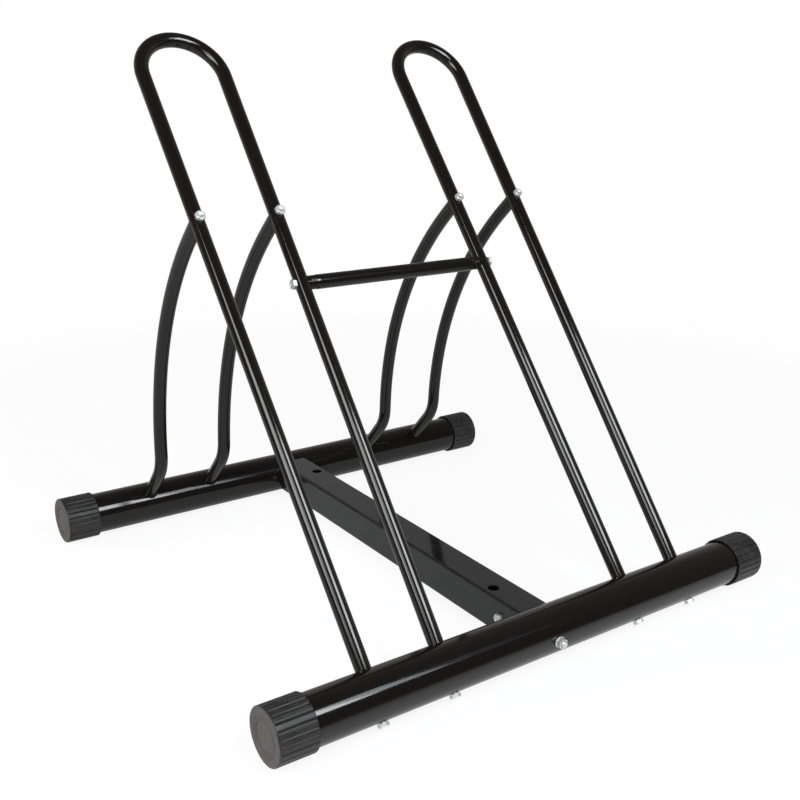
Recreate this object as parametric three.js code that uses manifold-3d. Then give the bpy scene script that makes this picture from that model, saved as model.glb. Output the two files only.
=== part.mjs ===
// A bolted floor rack that holds two bicycles by a wheel each.
// Two base tubes lie across the floor, joined by a square beam. Two bent hoops lean back from
// the front tube, and a curved stay braces each hoop leg from the rear tube.
// Millimetres. +X runs along the base tubes, +Y from the front tube to the rear one, +Z up.
// The origin is on the floor, midway between the base tubes.
import * as THREE from "three";
import { mergeVertices } from "three/addons/utils/BufferGeometryUtils.js";
import Module from "manifold-3d";

// Layout
const tubeSpacing = 540;        // front base tube's axis to the rear one's
const baseTubeLength = 640;
const hoopCentre = 169;         // from the rack's middle to each hoop's middle
const hoopLean = 50.4;          // degrees between a hoop and the floor
const hoopFootSpacing = 84;     // between a hoop's legs, at the front tube's axis
const hoopArchHeight = 694;     // front tube's axis to the arch's centre, along the hoop
const hoopArchRadius = 48;
const crossTubeHeight = 427;    // along the hoop, as is the next one
const stayTopHeight = 511;
const stayTopAngle = 43;        // degrees below level, where the stay leaves the leg
const stayFootAngle = 48;       // degrees between the stay's foot and the floor
const stayFootLength = 75;      // from the rear tube's axis to the foot's bend
const stayFootBend = 50;        // radius of that bend

// Tubes
const baseTubeDiameter = 50.8;
const baseTubeWall = 1.5;
const frameTubeDiameter = 16;   // hoops, stays and cross tube
const frameTubeWall = 1.4;
const beamWidth = 40;
const beamHeight = 40;
const beamWall = 2;
const beamCorner = 3;
const anchorHoleDiameter = 13;
const anchorHoleInset = 72;     // from each base tube's axis to the hole nearest it
const anchorHoleStagger = 7;    // front hole to the left of the beam's middle, rear one to the right

// End caps
const capWall = 2.8;            // at the ribs' corners
const capRibs = 24;
const capLength = 41;
const capEndWall = 4;
const capChamfer = 3;
const capGrooveDepth = 0.8;     // of the ring in the end face
const capGrooveInner = 15;
const capGrooveOuter = 19;

// Bolts and what they screw into
const boltDiameter = 6;
const headFlats = 10;
const headHeight = 4;
const headDish = 0.8;
const nutHeight = 5;
const washerDiameter = 12;
const washerThickness = 1.2;
const boltEndProud = 3;         // past its nut
const plugLength = 16;
const plugSetback = 1;          // from the wall that a tube's end meets to its plug
const boltEndPastPlug = 2;
const bracketPlate = 3;
const bracketLength = 34;
const crossBoltInset = 19;      // from a bracket's web to its cross bolt

// Fits
const gap = 0.3;                // between pieces that touch or screw together
const holeClearance = 0.4;      // around a bolt, on the radius

// Mesh fineness
const baseTubeSides = 40;
const frameTubeSides = 16;
const smallSides = 12;
const cornerSteps = 2;
const archSteps = 12;
const stayCurveSteps = 8;
const stayFootSteps = 4;

// Worked-out sizes
const degrees = Math.PI / 180;
const baseRadius = baseTubeDiameter / 2;
const frameRadius = frameTubeDiameter / 2;
const boltRadius = boltDiameter / 2;
const headReach = headFlats / 2 / Math.cos(Math.PI / 6);
const capRadius = baseRadius + gap + capWall;
const capFlatness = Math.cos(Math.PI / capRibs);    // a cap side's distance from the axis over its corners'
const tubeHeight = capRadius * capFlatness;
const beamSpan = tubeSpacing - baseTubeDiameter - 2 * gap;    // between the base tubes' walls
const lean = hoopLean * degrees;
const footHalf = hoopFootSpacing / 2;
// A hoop's legs are tangents to its arch, so they spread by a small angle on the way up.
const splay = Math.asin(hoopArchRadius / Math.hypot(footHalf, hoopArchHeight))
  - Math.atan2(footHalf, hoopArchHeight);
// A leg and its stay lie in one plane, which tips sideways about their feet by this angle.
const sideTilt = Math.atan2(Math.tan(splay), Math.sin(lean));

const blackPaint = { color: 0x0b0b0d, roughness: 0.28, metalness: 0.2 };
const rubber = { color: 0x26272a, roughness: 0.75, metalness: 0 };
const zincPlate = { color: 0xc9ccd0, roughness: 0.32, metalness: 1 };

const alongX = new THREE.Vector3(1, 0, 0);
const alongY = new THREE.Vector3(0, 1, 0);
const alongZ = new THREE.Vector3(0, 0, 1);
const origin = new THREE.Vector3();
const sides = [["left", -1], ["right", 1]];

const wasm = await Module();
wasm.setup();

// Joining and cutting

function toSolid(geometry) {
  const bare = new THREE.BufferGeometry();
  const loose = geometry.index ? geometry.toNonIndexed() : geometry;
  bare.setAttribute("position", loose.getAttribute("position"));
  const merged = mergeVertices(bare, 1e-3);
  return new wasm.Manifold(new wasm.Mesh({
    numProp: 3,
    vertProperties: new Float32Array(merged.attributes.position.array),
    triVerts: new Uint32Array(merged.index.array),
  }));
}

function toGeometry(solid) {
  const mesh = solid.getMesh();
  const indexed = new THREE.BufferGeometry();
  indexed.setAttribute("position", new THREE.BufferAttribute(mesh.vertProperties, 3));
  indexed.setIndex(new THREE.BufferAttribute(mesh.triVerts, 1));
  const geometry = indexed.toNonIndexed();
  geometry.computeVertexNormals();
  return geometry;
}

function cut(geometry, cutters) {
  const whole = toSolid(geometry);
  return toGeometry(cutters.reduce((left, cutter) => left.subtract(toSolid(cutter)), whole));
}

// Placing

function scaled(direction, length) {
  return direction.clone().multiplyScalar(length);
}

function onward(point, direction, length) {
  return point.clone().addScaledVector(direction, length);
}

// The matrix that turns +Z to a direction and takes the origin to a point.
function pointing(point, direction) {
  const turn = new THREE.Quaternion().setFromUnitVectors(alongZ, direction);
  return new THREE.Matrix4().compose(point, turn, new THREE.Vector3(1, 1, 1));
}

function groupAt(parent, x, y, z) {
  const group = new THREE.Group();
  group.position.set(x, y, z);
  parent.add(group);
  return group;
}

function addMesh(group, name, geometry, look, place = new THREE.Matrix4()) {
  const mesh = new THREE.Mesh(geometry, new THREE.MeshStandardMaterial(look));
  mesh.name = name;
  mesh.applyMatrix4(place);
  group.add(mesh);
}

// A shape that is drawn in one group's frame, moved to the same place in another's.
function carried(geometry, from, to) {
  const move = to.matrixWorld.clone().invert().multiply(from.matrixWorld);
  return geometry.applyMatrix4(move);
}

// Basic shapes along +Z

function turned(profile, sideCount) {
  const points = profile.map(([radius, height]) => new THREE.Vector2(radius, height));
  return new THREE.LatheGeometry(points, sideCount).rotateX(Math.PI / 2);
}

function rod(radius, from, to, sideCount = smallSides) {
  return turned([[0, from], [radius, from], [radius, to], [0, to]], sideCount);
}

function ring(inner, outer, length, sideCount = smallSides) {
  return turned([[inner, 0], [outer, 0], [outer, length], [inner, length], [inner, 0]], sideCount);
}

// A cutter that goes all the way through what lies within its reach of a point.
function drill(radius, reach, point, direction, sideCount = smallSides) {
  return rod(radius, -reach, reach, sideCount).applyMatrix4(pointing(point, direction));
}

function prism(shape, depth) {
  return new THREE.ExtrudeGeometry(shape,
    { depth, bevelEnabled: false, curveSegments: cornerSteps });
}

function outline(points) {
  return new THREE.Shape(points.map(([x, y]) => new THREE.Vector2(x, y)));
}

function hexagon() {
  const corners = [0, 1, 2, 3, 4, 5].map((corner) => (corner + 0.5) * Math.PI / 3);
  return outline(corners.map((angle) => [headReach * Math.cos(angle), headReach * Math.sin(angle)]));
}

function roundedRectangle(width, height, corner) {
  const x = width / 2 - corner;
  const y = height / 2 - corner;
  const quarter = Math.PI / 2;
  const shape = new THREE.Shape();
  shape.absarc(x, -y, corner, -quarter, 0);
  shape.absarc(x, y, corner, 0, quarter);
  shape.absarc(-x, y, corner, quarter, 2 * quarter);
  shape.absarc(-x, -y, corner, 2 * quarter, 3 * quarter);
  return shape.closePath();
}

// Bent tubes. A station is a point of the tube's axis and the way it heads there.

function station(point, direction) {
  return { point, direction: direction.clone().normalize() };
}

// A path that has one step between stations, so that a straight run takes a single step.
class StationPath extends THREE.Curve {
  constructor(stations) {
    super();
    this.stations = stations;
  }
  stationAt(share) {
    return this.stations[Math.round(share * (this.stations.length - 1))];
  }
  getPointAt(share) {
    return this.stationAt(share).point.clone();
  }
  getTangentAt(share) {
    return this.stationAt(share).direction.clone();
  }
}

function frameTube(stations) {
  const section = new THREE.Shape();
  section.absarc(0, 0, frameRadius, 0, 2 * Math.PI);
  const bore = new THREE.Path();
  bore.absarc(0, 0, frameRadius - frameTubeWall, 0, 2 * Math.PI);
  section.holes.push(bore);
  return new THREE.ExtrudeGeometry(section, {
    steps: stations.length - 1,
    curveSegments: frameTubeSides / 2,
    extrudePath: new StationPath(stations),
  });
}

// Fasteners. Each one's seat is at its frame's origin, and its bolt runs along +Z.

function boltGeometry(length) {
  const top = -headHeight;
  const head = prism(hexagon(), headHeight).translate(0, 0, top);
  const dish = turned([[0, top - 1], [headFlats / 3, top - 1], [headFlats / 3, top],
    [headFlats / 6, top + headDish], [0, top + headDish]], smallSides);
  const shank = rod(boltRadius, top / 2, length);
  return toGeometry(toSolid(head).subtract(toSolid(dish)).add(toSolid(shank)));
}

function nutGeometry() {
  return cut(prism(hexagon(), nutHeight), [rod(boltRadius + gap, -1, nutHeight + 1)]);
}

function washerGeometry() {
  return ring(boltRadius + gap, washerDiameter / 2, washerThickness);
}

function plugGeometry() {
  return ring(boltRadius + gap, frameRadius - frameTubeWall - gap, plugLength);
}

// A joint where a bolt crosses one tube and screws into a plug in the end of a frame tube.
// The crossed tube's axis passes the point, and the frame tube leaves it along the direction,
// which is off square by the slant. The bolt's head stands off until its edge is clear.
function addPluggedJoint(group, name, point, direction, crossedRadius, slant) {
  const headDepth = (crossedRadius + gap) / Math.cos(slant) + headReach * Math.tan(slant);
  const seat = onward(point, direction, -headDepth);
  const plugFace = onward(point, direction, crossedRadius + plugSetback);
  const boltLength = seat.distanceTo(plugFace) + plugLength + boltEndPastPlug;
  addMesh(group, `${name}_bolt`, boltGeometry(boltLength), zincPlate, pointing(seat, direction));
  addMesh(group, `${name}_plug`, plugGeometry(), zincPlate, pointing(plugFace, direction));
}

function boltHole(point, direction, reach) {
  return drill(boltRadius + holeClearance, reach, point, direction);
}

// Base tubes and end caps, in a frame whose X axis is the tube's

// A cap has one side for each rib. Its frame has the tube's end at the origin, +Z pointing out
// of the tube, and the middle of one side at +X.
function capGeometry() {
  const end = gap + capEndWall;
  const mouth = end - capLength;
  const floor = end - capGrooveDepth;
  const bore = (baseRadius + gap) / capFlatness;
  const cap = turned([[0, gap], [bore, gap], [bore, mouth],
    [capRadius, mouth], [capRadius, end - capChamfer], [capRadius - capChamfer, end],
    [capGrooveOuter, end], [capGrooveOuter, floor], [capGrooveInner, floor],
    [capGrooveInner, end], [0, end]], capRibs);
  return cap.rotateZ(Math.PI / 2 - Math.PI / capRibs);
}

function addBaseTube(group, name, holes) {
  const half = baseTubeLength / 2;
  const tube = ring(baseRadius - baseTubeWall, baseRadius, baseTubeLength, baseTubeSides)
    .applyMatrix4(pointing(scaled(alongX, -half), alongX));
  addMesh(group, `${name}_base_tube`, cut(tube, holes), blackPaint);
  for (const [side, sign] of sides) {
    // The side in the middle at the cap's own +X is the one that lies on the floor.
    const cap = sign > 0 ? capGeometry() : capGeometry().rotateZ(Math.PI);
    const place = pointing(scaled(alongX, sign * half), scaled(alongX, sign));
    addMesh(group, `end_cap_${name}_${side}`, cap, rubber, place);
  }
}

// The connecting beam and its end fixings, in a frame at the beam's middle

function crossBoltPoint(sign) {
  return scaled(alongY, sign * (beamSpan / 2 - crossBoltInset));
}

// The beam's ends are cut to the base tubes' walls, so its top and bottom reach over them.
function beamGeometry() {
  const section = roundedRectangle(beamWidth, beamHeight, beamCorner);
  section.holes.push(roundedRectangle(beamWidth - 2 * beamWall, beamHeight - 2 * beamWall,
    beamCorner - beamWall));
  const beam = prism(section, tubeSpacing).translate(0, 0, -tubeSpacing / 2).rotateX(Math.PI / 2);
  const cutters = [-1, 1].flatMap((sign) => {
    const anchor = new THREE.Vector3(anchorHoleStagger, tubeSpacing / 2 - anchorHoleInset, 0);
    const baseTube = scaled(alongY, sign * tubeSpacing / 2);
    return [drill(baseRadius + gap, beamWidth, baseTube, alongX, baseTubeSides),
      drill(anchorHoleDiameter / 2, beamHeight, scaled(anchor, sign), alongZ),
      boltHole(crossBoltPoint(sign), alongX, beamWidth)];
  });
  return cut(beam, cutters);
}

// A U of plate. Its web stands against the base tube, and its arms lie along the beam's side walls.
// Its frame has the web's outer face at the origin and +Z running into the beam.
function bracketGeometry() {
  const x = beamWidth / 2 - beamWall - gap;
  const inner = x - bracketPlate;
  const height = beamHeight - 2 * beamWall - 2 * beamCorner;
  const shape = outline([[-x, 0], [x, 0], [x, bracketLength], [inner, bracketLength],
    [inner, bracketPlate], [-inner, bracketPlate], [-inner, bracketLength],
    [-x, bracketLength]]);
  const plate = prism(shape, height).translate(0, 0, -height / 2).rotateX(Math.PI / 2);
  return cut(plate, [boltHole(origin, alongZ, 2 * bracketPlate),
    boltHole(scaled(alongZ, crossBoltInset), alongX, beamWidth)]);
}

// The end bolt's head is inside the bracket, and its washer and nut are outside the base tube.
function addBeamEnd(group, end, sign) {
  const outward = scaled(alongY, sign);
  const web = scaled(outward, beamSpan / 2);
  const seat = onward(web, outward, -bracketPlate - gap);
  const washerFace = onward(web, outward, baseTubeDiameter + 2 * gap);
  const nutFace = onward(washerFace, outward, washerThickness + gap);
  const endBolt = boltGeometry(seat.distanceTo(nutFace) + nutHeight + boltEndProud);
  const addEnd = (name, geometry, look, point, direction) =>
    addMesh(group, `beam_${name}_${end}`, geometry, look, pointing(point, direction));
  addEnd("bracket", bracketGeometry(), blackPaint, web, scaled(outward, -1));
  addEnd("end_bolt", endBolt, zincPlate, seat, outward);
  addEnd("end_washer", washerGeometry(), zincPlate, washerFace, outward);
  addEnd("end_nut", nutGeometry(), zincPlate, nutFace, outward);
  // The cross bolt goes in from the left, and its nut is on the right.
  const side = beamWidth / 2 + gap;
  const crossBolt = boltGeometry(2 * side + nutHeight + boltEndProud);
  addEnd("cross_bolt", crossBolt, zincPlate, onward(crossBoltPoint(sign), alongX, -side), alongX);
  addEnd("cross_nut", nutGeometry(), zincPlate, onward(crossBoltPoint(sign), alongX, side), alongX);
}

function endBoltHole() {
  return boltHole(origin, alongY, baseTubeDiameter);
}

// Hoops, in a frame with the front tube's axis along X and +Y running up the hoop

function legUp(sign) {
  return new THREE.Vector3(sign * Math.sin(splay), Math.cos(splay), 0);
}

// The distance of a leg's axis from the hoop's middle, at a height along the hoop.
function legOffset(height) {
  return footHalf + height * Math.tan(splay);
}

// A hoop starts inside the front tube, where its feet are then cut to the tube's wall.
function hoopStations() {
  const foot = (sign) => onward(scaled(alongX, sign * footHalf), legUp(sign), baseRadius / 2);
  const stations = [station(foot(1), legUp(1))];
  for (let step = 0; step <= archSteps; step++) {
    const angle = -splay + (Math.PI + 2 * splay) * step / archSteps;
    const outward = new THREE.Vector3(Math.cos(angle), Math.sin(angle), 0);
    const point = onward(scaled(alongY, hoopArchHeight), outward, hoopArchRadius);
    stations.push(station(point, new THREE.Vector3(-outward.y, outward.x, 0)));
  }
  stations.push(station(foot(-1), scaled(legUp(-1), -1)));
  return stations;
}

function addHoop(frame, name, inwardSign, stayHoles) {
  const baseTube = drill(baseRadius + gap, hoopFootSpacing, origin, alongX, baseTubeSides);
  const crossPoint = new THREE.Vector3(inwardSign * legOffset(crossTubeHeight), crossTubeHeight, 0);
  const crossHole = boltHole(crossPoint, alongX, frameTubeDiameter);
  const hoop = cut(frameTube(hoopStations()), [baseTube, crossHole, ...stayHoles]);
  addMesh(frame, `hoop_${name}`, hoop, blackPaint);
}

// The cross tube, in a frame at its middle. Its ends are cut to the inner legs' walls.

function addCrossTube(group, legCutters) {
  const half = hoopCentre - legOffset(crossTubeHeight);
  const ends = [scaled(alongX, -half), scaled(alongX, half)];
  const tube = frameTube(ends.map((end) => station(end, alongX)));
  addMesh(group, "cross_tube", cut(tube, legCutters), blackPaint);
  for (const [side, sign] of sides) {
    addPluggedJoint(group, `cross_tube_${side}`, scaled(alongX, sign * half),
      scaled(alongX, -sign), frameRadius, splay);
  }
}

// Side frames. Each holds what lies in the plane of a hoop leg and its stay, with the front
// tube's axis at the origin and the rear tube's straight ahead on +Y.

const topDrop = stayTopAngle * degrees;
const footRise = stayFootAngle * degrees;
const legAlong = sidePoint(1).normalize();
const stayTopSlant = Math.abs(lean + topDrop - Math.PI / 2);
const stayTop = sidePoint(stayTopHeight);
const stayTopAlong = new THREE.Vector3(0, Math.cos(topDrop), -Math.sin(topDrop));
const stayFootAlong = new THREE.Vector3(0, -Math.cos(footRise), Math.sin(footRise));
const rearAxis = scaled(alongY, tubeSpacing);

// The point of the leg's axis at a height along the hoop.
function sidePoint(height) {
  const rise = height * Math.sin(lean) / Math.cos(sideTilt);
  return new THREE.Vector3(0, height * Math.cos(lean), rise);
}

function circleStation(centre, radius, angle, turn) {
  const outward = new THREE.Vector3(0, Math.cos(angle), Math.sin(angle));
  const heading = new THREE.Vector3(0, -turn * outward.z, turn * outward.y);
  return station(onward(centre, outward, radius), heading);
}

// The stay runs straight past its plug, follows its long curve down, and turns back through
// the foot bend onto a line that points at the rear tube's axis.
function stayStations() {
  const straight = frameRadius + plugSetback + plugLength + plugSetback;
  const start = onward(stayTop, stayTopAlong, straight);
  const inward = new THREE.Vector3(0, -Math.sin(topDrop), -Math.cos(topDrop));
  const besideFoot = new THREE.Vector3(0, Math.sin(footRise), Math.cos(footRise));
  const footStart = onward(rearAxis, stayFootAlong, stayFootLength);
  const bendCentre = onward(footStart, besideFoot, stayFootBend);
  // The long curve has the radius that makes its circle touch the foot bend's circle.
  const reach = bendCentre.clone().sub(start);
  const curveRadius = (reach.lengthSq() - stayFootBend ** 2) / 2
    / (stayFootBend + reach.dot(inward));
  const curveCentre = onward(start, inward, curveRadius);
  const startAngle = Math.PI / 2 - topDrop;
  const endAngle = Math.atan2(bendCentre.z - curveCentre.z, bendCentre.y - curveCentre.y);
  const bendSweep = Math.PI / 2 - footRise - endAngle;
  const stations = [station(stayTop, stayTopAlong)];
  for (let step = 0; step <= stayCurveSteps; step++) {
    const angle = startAngle + (endAngle - startAngle) * step / stayCurveSteps;
    stations.push(circleStation(curveCentre, curveRadius, angle, -1));
  }
  for (let step = 1; step <= stayFootSteps; step++) {
    const angle = Math.PI + endAngle + bendSweep * step / stayFootSteps;
    stations.push(circleStation(bendCentre, stayFootBend, angle, 1));
  }
  stations.push(station(onward(rearAxis, stayFootAlong, baseRadius / 2), scaled(stayFootAlong, -1)));
  return stations;
}

function legCutter() {
  return drill(frameRadius + gap, stayTop.length() * 2, origin, legAlong, frameTubeSides * 2);
}

function addStay(group, name) {
  const rearTube = drill(baseRadius + gap, frameTubeDiameter, rearAxis, alongX, baseTubeSides);
  const stay = cut(frameTube(stayStations()), [legCutter(), rearTube]);
  addMesh(group, `stay_${name}`, stay, blackPaint);
  addPluggedJoint(group, `hoop_foot_${name}`, origin, legAlong, baseRadius, sideTilt);
  addPluggedJoint(group, `stay_top_${name}`, stayTop, stayTopAlong, frameRadius, stayTopSlant);
  addPluggedJoint(group, `stay_foot_${name}`, rearAxis, stayFootAlong, baseRadius, sideTilt);
}

// The rack

const rack = new THREE.Group();
const frontFrame = groupAt(rack, 0, -tubeSpacing / 2, tubeHeight);
const rearFrame = groupAt(rack, 0, tubeSpacing / 2, tubeHeight);
const beamFrame = groupAt(rack, 0, 0, tubeHeight);
const crossFrame = groupAt(frontFrame, 0, crossTubeHeight * Math.cos(lean),
  crossTubeHeight * Math.sin(lean));
const hoopFrames = sides.map(([side, sign]) => {
  const frame = groupAt(frontFrame, sign * hoopCentre, 0, 0);
  frame.rotation.x = lean;
  return { frame, side, sign };
});
const sideFrames = hoopFrames.flatMap((hoop) => sides.map(([, legSign]) => {
  const frame = groupAt(frontFrame, hoop.sign * hoopCentre + legSign * footHalf, 0, 0);
  frame.rotation.y = legSign * sideTilt;
  const place = legSign === hoop.sign ? "outer" : "inner";
  return { frame, hoop, place, name: `${hoop.side}_${place}` };
}));
rack.updateMatrixWorld(true);

const carriedFrom = (geometry, to) => (side) => carried(geometry(), side.frame, to);
const legHole = () => boltHole(origin, legAlong, baseTubeDiameter);
const stayFootHole = () => boltHole(rearAxis, stayFootAlong, baseTubeDiameter);
const stayTopHole = () => boltHole(stayTop, stayTopAlong, frameTubeDiameter);

addBaseTube(frontFrame, "front", [endBoltHole(), ...sideFrames.map(carriedFrom(legHole, frontFrame))]);
addBaseTube(rearFrame, "rear", [endBoltHole(), ...sideFrames.map(carriedFrom(stayFootHole, rearFrame))]);
addMesh(beamFrame, "connecting_beam", beamGeometry(), blackPaint);
addBeamEnd(beamFrame, "front", -1);
addBeamEnd(beamFrame, "rear", 1);
for (const hoop of hoopFrames) {
  const legs = sideFrames.filter((side) => side.hoop === hoop);
  addHoop(hoop.frame, hoop.side, -hoop.sign, legs.map(carriedFrom(stayTopHole, hoop.frame)));
}
const innerSides = sideFrames.filter((side) => side.place === "inner");
addCrossTube(crossFrame, innerSides.map(carriedFrom(legCutter, crossFrame)));
for (const side of sideFrames) {
  addStay(side.frame, side.name);
}

export default rack;
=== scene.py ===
import math

import bmesh
import bpy
from mathutils import Matrix, Vector


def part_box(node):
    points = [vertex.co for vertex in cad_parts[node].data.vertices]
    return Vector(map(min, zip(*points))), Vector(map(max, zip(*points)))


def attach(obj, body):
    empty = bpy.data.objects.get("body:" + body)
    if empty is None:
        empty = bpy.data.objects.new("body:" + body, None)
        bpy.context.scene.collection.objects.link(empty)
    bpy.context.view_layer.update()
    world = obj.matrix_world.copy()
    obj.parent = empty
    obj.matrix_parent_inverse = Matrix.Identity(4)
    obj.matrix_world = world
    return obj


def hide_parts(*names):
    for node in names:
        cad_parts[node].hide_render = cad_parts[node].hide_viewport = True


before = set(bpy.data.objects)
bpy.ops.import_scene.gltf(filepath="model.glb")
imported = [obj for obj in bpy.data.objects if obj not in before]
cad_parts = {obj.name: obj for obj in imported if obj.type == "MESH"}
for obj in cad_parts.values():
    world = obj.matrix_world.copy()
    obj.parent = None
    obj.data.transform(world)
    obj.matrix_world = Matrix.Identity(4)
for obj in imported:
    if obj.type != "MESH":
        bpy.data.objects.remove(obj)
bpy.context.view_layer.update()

# A bolted floor rack for two bicycle wheels: bent tube hoops and stays on two capped base tubes.
# Metres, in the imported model's frame. +X runs along the base tubes, +Y from front to rear.

mm = 0.001
degree = math.pi / 180
alongX = Vector((1, 0, 0))
alongY = Vector((0, 1, 0))
alongZ = Vector((0, 0, 1))
middle = Vector((0, 0, 0))

# Layout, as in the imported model

layout = {
    "tubeSpacing": 540 * mm,
    "hoopCentre": 169 * mm,
    "hoopLean": 50.4 * degree,
    "footHalf": 42 * mm,
    "archHeight": 694 * mm,
    "archRadius": 48 * mm,
    "crossTubeHeight": 427 * mm,
    "stayTopHeight": 511 * mm,
    "gap": 0.3 * mm,
    "boltHole": 3.4 * mm,
    "cutReach": 30 * mm,           # a cutter's reach on either side of its point
    "saddleSides": 128,
}
lowCorner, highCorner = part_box("front_base_tube")
tubeHeight = (lowCorner.z + highCorner.z) / 2
frontAxis = Vector((0, -layout["tubeSpacing"] / 2, tubeHeight))
rearAxis = Vector((0, layout["tubeSpacing"] / 2, tubeHeight))

# Shape tools. Each works on the piece that is being made.


def clearSelection():
    if bpy.context.mode != "OBJECT":
        bpy.ops.object.mode_set(mode="OBJECT")
    bpy.ops.object.select_all(action="DESELECT")


def takeUp(piece):
    clearSelection()
    piece.select_set(True)
    bpy.context.view_layer.objects.active = piece


def startEditing(piece):
    takeUp(piece)
    bpy.ops.object.mode_set(mode="EDIT")
    bpy.ops.mesh.select_mode(type="VERT")
    bpy.ops.mesh.select_all(action="SELECT")


def facing(direction):
    # the smallest turn that takes +Z to a direction
    return alongZ.rotation_difference(Vector(direction))


def placeAt(point, direction=alongZ):
    return Matrix.Translation(point) @ facing(direction).to_matrix().to_4x4()


def startRing(name, radius, sides, centre, direction):
    clearSelection()
    bpy.ops.mesh.primitive_circle_add(
        vertices=sides, radius=radius, fill_type="NOTHING", location=centre,
        rotation=facing(direction).to_euler())
    piece = bpy.context.object
    piece.name = name
    bpy.ops.object.transform_apply(location=True, rotation=True, scale=True)
    startEditing(piece)
    return piece


def extrude(move):
    bpy.ops.mesh.extrude_region_move(TRANSFORM_OT_translate={"value": tuple(move)})


def scaleAbout(centre, factors):
    bpy.ops.transform.resize(value=factors, center_override=tuple(centre))


def extrudeAlong(direction, lengths):
    for length in lengths:
        extrude(Vector(direction) * length)


def spinRound(centre, axis, angle, steps):
    # the operator turns the other way
    bpy.ops.mesh.spin(steps=steps, angle=-angle, center=tuple(centre), axis=tuple(axis))


def mendFaces():
    bpy.ops.mesh.select_all(action="SELECT")
    bpy.ops.mesh.remove_doubles(threshold=1e-6)
    bpy.ops.mesh.normals_make_consistent(inside=False)


def choose(piece, part, test):
    # part is verts, edges or faces, and the test gets one of them
    bpy.ops.mesh.select_mode(type={"verts": "VERT", "edges": "EDGE", "faces": "FACE"}[part])
    bpy.ops.mesh.select_all(action="DESELECT")
    shape = bmesh.from_edit_mesh(piece.data)
    for item in getattr(shape, part):
        item.select_set(test(item))
    shape.select_flush_mode()
    bmesh.update_edit_mesh(piece.data)


def edgeMiddle(edge):
    return (edge.verts[0].co + edge.verts[1].co) / 2


def applyModifier(piece, kind, settings):
    takeUp(piece)
    modifier = piece.modifiers.new(kind, kind)
    for setting, value in settings.items():
        setattr(modifier, setting, value)
    bpy.ops.object.modifier_apply(modifier=modifier.name)


def giveWall(piece, thickness):
    applyModifier(piece, "SOLIDIFY", {
        "thickness": thickness, "offset": -1, "use_even_offset": True, "use_rim": True})


def rod(radius, point, direction, reach=layout["cutReach"], sides=32):
    # a cutter that reaches the same way on both sides of its point
    clearSelection()
    bpy.ops.mesh.primitive_cylinder_add(
        vertices=sides, radius=radius, depth=2 * reach, location=point,
        rotation=facing(direction).to_euler())
    return bpy.context.object


def combine(piece, operation, others):
    for other in others:
        applyModifier(piece, "BOOLEAN", {
            "object": other, "operation": operation, "solver": "EXACT"})
        bpy.data.objects.remove(other)


def cutAway(piece, cutters):
    combine(piece, "DIFFERENCE", cutters)


def smooth(piece, angle=32):
    takeUp(piece)
    bpy.ops.object.shade_smooth_by_angle(angle=angle * degree)


def evenShading(piece):
    applyModifier(piece, "WEIGHTED_NORMAL", {"keep_sharp": True, "weight": 50})


def copyTo(model, name, place):
    piece = model.copy()
    piece.data = model.data.copy()
    piece.name = name
    bpy.context.collection.objects.link(piece)
    piece.matrix_basis = place
    takeUp(piece)
    bpy.ops.object.transform_apply(location=True, rotation=True, scale=True)
    return piece


# Turns a profile round +Z. Each of its points is a height and a radius, and a radius of
# nought at either end closes the shape there.
def turnProfile(name, profile, sides):
    first = 1 if profile[0][1] == 0 else 0
    last = len(profile) - 1 if profile[-1][1] == 0 else len(profile)
    height, radius = profile[first]
    piece = startRing(name, radius, sides, (0, 0, height), alongZ)
    for nextHeight, nextRadius in profile[first + 1:last]:
        extrude((0, 0, nextHeight - height))
        factor = nextRadius / radius
        scaleAbout((0, 0, nextHeight), (factor, factor, 1))
        height, radius = nextHeight, nextRadius
    for atEnd, point in ((profile[0][1] == 0, profile[first]),
                         (profile[-1][1] == 0, profile[last - 1])):
        if atEnd:
            choose(piece, "verts", lambda vert: abs(vert.co.z - point[0]) < 1e-7
                   and abs(vert.co.to_2d().length - point[1]) < 1e-6)
            bpy.ops.mesh.extrude_region_move()
            bpy.ops.mesh.merge(type="CENTER")
    mendFaces()
    clearSelection()
    return piece


# Finishes. A Signal is one output of a shader node, and sums on it add Math nodes.


class Signal:
    def __init__(self, finish, socket):
        self.finish = finish
        self.socket = socket

    def math(self, operation, first, second=0.0, clamp=False):
        settings = {"operation": operation, "use_clamp": clamp}
        return self.finish.node("ShaderNodeMath", settings, {0: first, 1: second})

    def __add__(self, other):
        return self.math("ADD", self, other)

    __radd__ = __add__

    def __sub__(self, other):
        return self.math("SUBTRACT", self, other)

    def __rsub__(self, other):
        return self.math("SUBTRACT", other, self)

    def __mul__(self, other):
        return self.math("MULTIPLY", self, other)

    __rmul__ = __mul__

    def __truediv__(self, other):
        return self.math("DIVIDE", self, other)

    def __rtruediv__(self, other):
        return self.math("DIVIDE", other, self)

    def __pow__(self, other):
        return self.math("POWER", self, other)

    def most(self, other):
        return self.math("MAXIMUM", self, other)

    def size(self):
        return self.math("ABSOLUTE", self)

    def held(self):
        return self.math("ADD", self, 0.0, clamp=True)


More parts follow.
